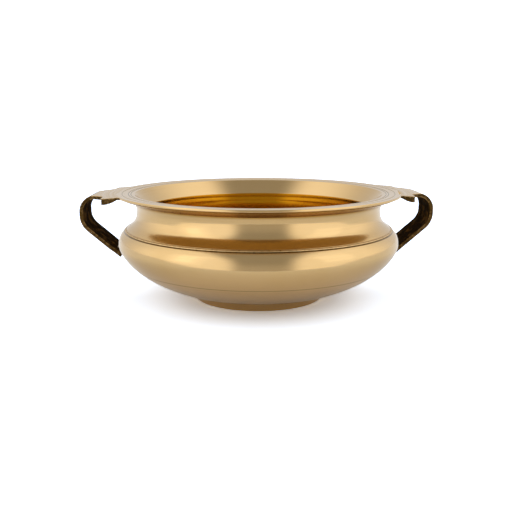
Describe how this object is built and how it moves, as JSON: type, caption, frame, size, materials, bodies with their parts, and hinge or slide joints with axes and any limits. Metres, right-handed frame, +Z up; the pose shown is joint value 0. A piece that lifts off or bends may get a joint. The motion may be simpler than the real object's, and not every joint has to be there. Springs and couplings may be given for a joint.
{
  "type": "urli bowl",
  "caption": "Wide footed brass bowl with a full belly, waisted neck, stepped flat rim and two strap handles from rim to belly.",
  "frame": {"origin": "centre of the foot ring's resting face, on the bowl's turning axis", "axes": "+Z up along the turning axis, X through the two handles with the right handle at +X, Y across"},
  "size_m": [0.313, 0.254, 0.0963],
  "materials": {
    "polished_brass": "lathe-turned satin polish",
    "cast_patina": "rough cast with dark patina",
    "braze_filler": "dressed flush"
  },
  "bodies": {
    "root": {"belly_bowl": "polished_brass", "neck_collar": "polished_brass", "foot_ring": "polished_brass", "left_handle": "cast_patina", "right_handle": "cast_patina", "shoulder_braze": "braze_filler", "foot_braze": "braze_filler", "left_ear_braze": "braze_filler", "right_ear_braze": "braze_filler", "left_leg_braze": "braze_filler", "right_leg_braze": "braze_filler"}
  },
  "joints": []
}
